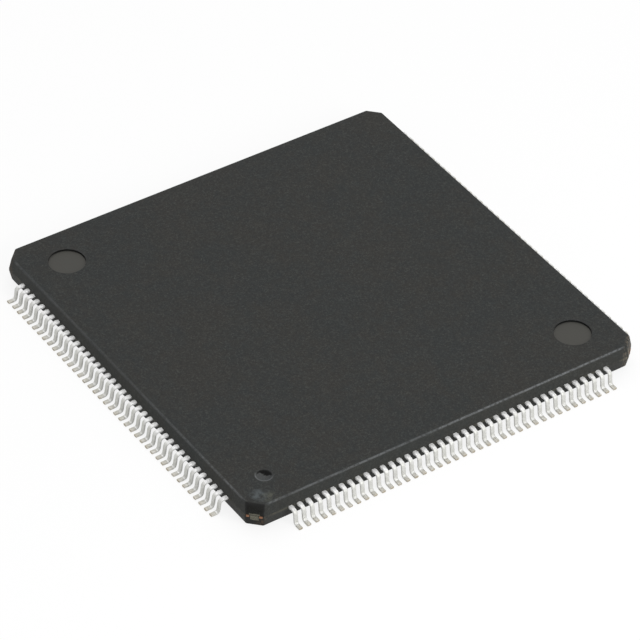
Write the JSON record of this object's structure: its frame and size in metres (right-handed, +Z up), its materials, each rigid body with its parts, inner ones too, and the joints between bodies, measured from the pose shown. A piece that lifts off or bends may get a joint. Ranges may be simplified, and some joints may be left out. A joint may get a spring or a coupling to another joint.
{
  "type": "quad flat pack chip",
  "caption": "Thin square moulded chip package with a row of gull-wing leads on each side, a terminal-one dimple and ejector pin marks.",
  "frame": {"origin": "on the seating plane under the middle of the moulding, level with the undersides of the lead feet", "axes": "+Z up out of the marked top face; -Y is the front row of leads, whose left end (-X) is terminal 1; terminals count on anticlockwise seen from above"},
  "size_m": [0.026, 0.026, 0.0015],
  "materials": {
    "resin": "charcoal epoxy moulding compound, fine spark-eroded matte grain",
    "lead_tin": "copper alloy with matte pale tin plating",
    "frame_copper": "bare stamped copper alloy",
    "die_adhesive": "silver-filled epoxy, matte grey",
    "silicon": "polished silicon",
    "tape_film": "amber polyimide film",
    "wire_gold": "drawn gold wire"
  },
  "bodies": {
    "root": {"body": "resin", "die_paddle": "frame_copper", "die_attach": "die_adhesive", "die": "silicon", "lead_lock_tape": "tape_film", "front_leads_1": "lead_tin", "front_leads_2": "lead_tin", "front_leads_3": "lead_tin", "front_leads_4": "lead_tin", "front_leads_5": "lead_tin", "right_leads_1": "lead_tin", "right_leads_2": "lead_tin", "right_leads_3": "lead_tin", "right_leads_4": "lead_tin", "right_leads_5": "lead_tin", "back_leads_1": "lead_tin", "back_leads_2": "lead_tin", "back_leads_3": "lead_tin", "back_leads_4": "lead_tin", "back_leads_5": "lead_tin", "left_leads_1": "lead_tin", "left_leads_2": "lead_tin", "left_leads_3": "lead_tin", "left_leads_4": "lead_tin", "left_leads_5": "lead_tin", "front_wires_1": "wire_gold", "front_wires_2": "wire_gold", "front_wires_3": "wire_gold", "front_wires_4": "wire_gold", "front_wires_5": "wire_gold", "right_wires_1": "wire_gold", "right_wires_2": "wire_gold", "right_wires_3": "wire_gold", "right_wires_4": "wire_gold", "right_wires_5": "wire_gold", "back_wires_1": "wire_gold", "back_wires_2": "wire_gold", "back_wires_3": "wire_gold", "back_wires_4": "wire_gold", "back_wires_5": "wire_gold", "left_wires_1": "wire_gold", "left_wires_2": "wire_gold", "left_wires_3": "wire_gold", "left_wires_4": "wire_gold", "left_wires_5": "wire_gold"}
  },
  "joints": []
}
